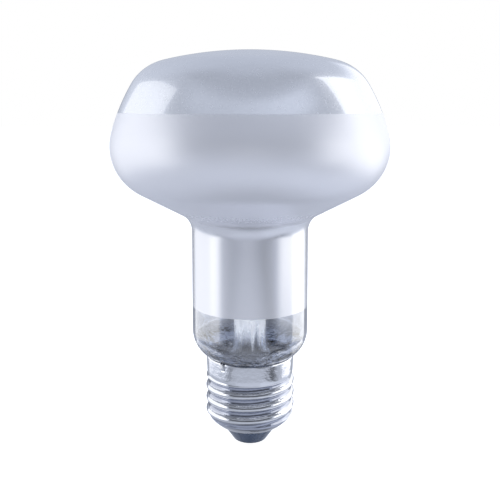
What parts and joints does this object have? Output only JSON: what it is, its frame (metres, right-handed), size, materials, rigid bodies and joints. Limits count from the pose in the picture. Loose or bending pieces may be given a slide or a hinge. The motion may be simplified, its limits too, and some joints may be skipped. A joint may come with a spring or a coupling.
{
  "type": "reflector bulb",
  "caption": "Mushroom-shaped reflector bulb with a frosted crown, a silvered side and neck, a clear foot and a metal screw cap.",
  "frame": {"origin": "flat tip of the centre contact, on the lamp's axis", "axes": "+Z along the lamp's axis from the contact to the crown; +X to the right and +Y away from the viewer in the picture"},
  "size_m": [0.08, 0.08, 0.1162],
  "materials": {
    "bulb_glass": "glossy outside, etched inside the crown",
    "mirror_coat": "satin aluminium",
    "stem_glass": "clear",
    "wire": "drawn wire",
    "copper_wire": "drawn wire",
    "cap_metal": "bright rolled sheet",
    "cement": "baked cement",
    "black_glass": "dark moulded glass",
    "contact_brass": "plain",
    "solder": "dull solder"
  },
  "bodies": {
    "root": {"envelope": "bulb_glass", "reflector_coating": "mirror_coat", "stem_flare": "stem_glass", "exhaust_tube": "stem_glass", "arbor_rod": "stem_glass", "support_wire_1": "wire", "support_wire_2": "wire", "support_wire_3": "wire", "filament": "wire", "inner_lead_left": "wire", "inner_lead_right": "wire", "seal_wire_left": "copper_wire", "seal_wire_right": "copper_wire", "side_lead": "copper_wire", "centre_lead": "copper_wire", "screw_shell": "cap_metal", "capping_cement": "cement", "cap_insulator": "black_glass", "contact_plate": "contact_brass", "centre_solder": "solder", "side_solder": "solder"}
  },
  "joints": []
}
